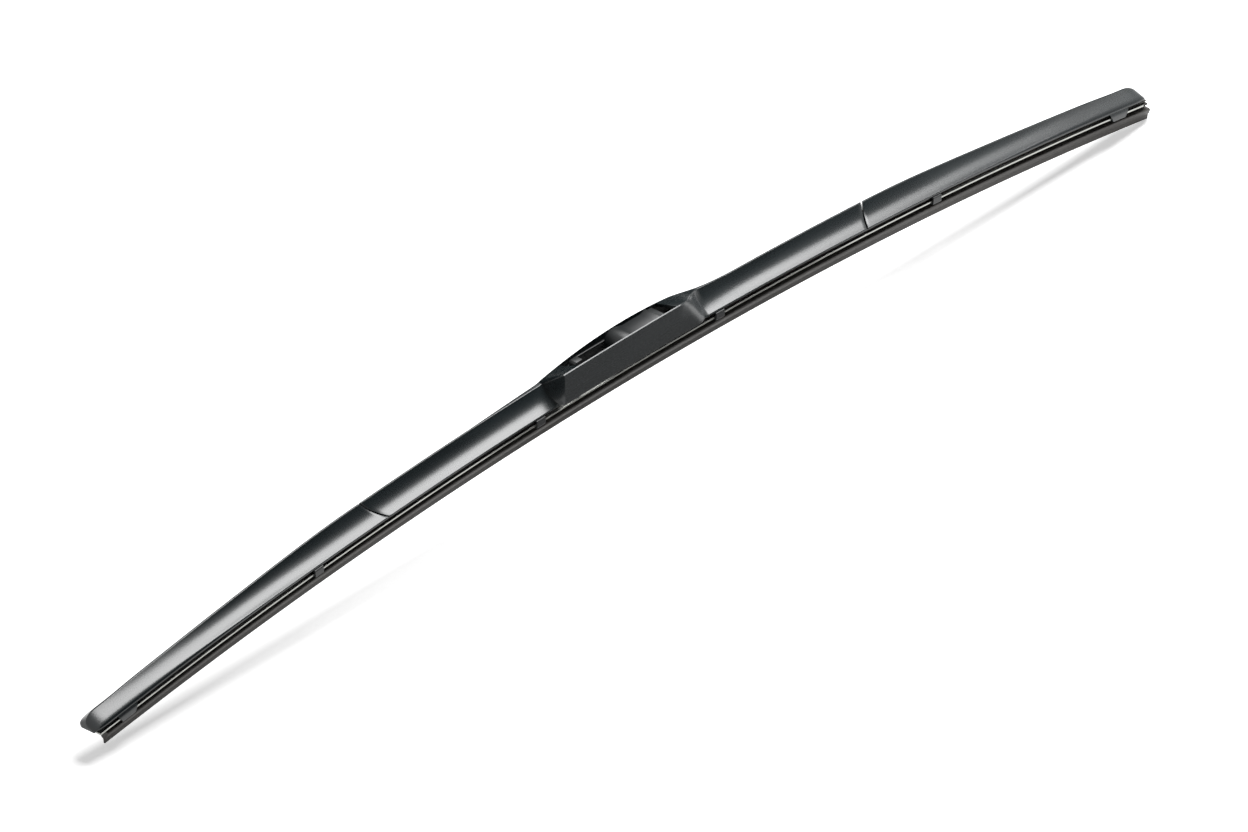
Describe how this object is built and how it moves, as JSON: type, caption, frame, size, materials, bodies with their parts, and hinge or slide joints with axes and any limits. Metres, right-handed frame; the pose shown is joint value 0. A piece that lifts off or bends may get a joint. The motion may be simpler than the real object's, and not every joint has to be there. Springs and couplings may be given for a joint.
{
  "type": "wiper blade",
  "caption": "Bowed windscreen wiper blade: concave moulded levers carry steel yokes whose claws hold a rubber squeegee with spring strips; the centre bay takes a U-hook arm.",
  "frame": {"origin": "centre of the hook pin in the middle of the blade", "axes": "+X along the blade, -Y is the side of the concave fins, +Z points away from the glass"},
  "size_m": [0.6573, 0.0133, 0.051],
  "materials": {
    "lever_nylon": "satin black glass-filled nylon",
    "adapter_acetal": "dark grey acetal",
    "coated_steel": "black coated pressed steel",
    "pin_steel": "drawn steel",
    "spring_steel": "rolled spring steel",
    "rubber": "graphited natural rubber"
  },
  "bodies": {
    "centre": {"centre_lever": "lever_nylon", "hook_bracket": "coated_steel", "hook_pin": "pin_steel", "left_lever_pin": "pin_steel", "right_lever_pin": "pin_steel"},
    "left_lever": {"left_end_lever": "lever_nylon"},
    "right_lever": {"right_end_lever": "lever_nylon"},
    "left_yoke": {"left_yoke": "coated_steel", "left_yoke_pin": "pin_steel"},
    "right_yoke": {"right_yoke": "coated_steel", "right_yoke_pin": "pin_steel"},
    "adapter": {"hook_adapter": "adapter_acetal"},
    "wiping_element": {"wiper_rubber": "rubber", "front_strip": "spring_steel", "rear_strip": "spring_steel"}
  },
  "joints": [
    {"name": "left_lever_hinge", "type": "hinge", "parent": "centre", "child": "left_lever", "pos_m": [-0.15077, 0.0043, -0.01123], "axis": [0, 1, 0], "range_deg": [0, 5], "stiffness_Nm_per_rad": 3, "deforming": ["wiper_rubber", "front_strip", "rear_strip"]},
    {"name": "right_lever_hinge", "type": "hinge", "parent": "centre", "child": "right_lever", "pos_m": [0.15077, 0.0043, -0.01123], "axis": [0, -1, 0], "range_deg": [0, 5.2], "deforming": ["wiper_rubber", "front_strip", "rear_strip"]},
    {"name": "left_yoke_hinge", "type": "hinge", "parent": "left_lever", "child": "left_yoke", "pos_m": [-0.12379, 0.0039, -0.01009], "axis": [0, 1, 0], "range_deg": [-2.1, 0.1], "deforming": ["wiper_rubber", "front_strip", "rear_strip"]},
    {"name": "right_yoke_hinge", "type": "hinge", "parent": "right_lever", "child": "right_yoke", "pos_m": [0.12379, 0.0039, -0.01009], "axis": [0, -1, 0], "range_deg": [-2.1, 0.1], "deforming": ["wiper_rubber", "front_strip", "rear_strip"]},
    {"name": "element_bend", "type": "slide", "parent": "centre", "child": "wiping_element", "axis": [0, 0, -1], "range_m": [0, 0.0061], "deforming": ["wiper_rubber", "front_strip", "rear_strip"]},
    {"name": "adapter_hinge", "type": "hinge", "parent": "centre", "child": "adapter", "pos_m": [0, 0.0007, 0], "axis": [0, -1, 0], "range_deg": [-4, 70]}
  ],
  "couplings": [
    {"joint": "right_lever_hinge", "follows": "left_lever_hinge", "ratio": 1},
    {"joint": "left_yoke_hinge", "follows": "left_lever_hinge", "ratio": -0.392},
    {"joint": "right_yoke_hinge", "follows": "left_lever_hinge", "ratio": -0.392},
    {"joint": "element_bend", "follows": "left_lever_hinge", "m_per_rad": 0.0685}
  ]
}
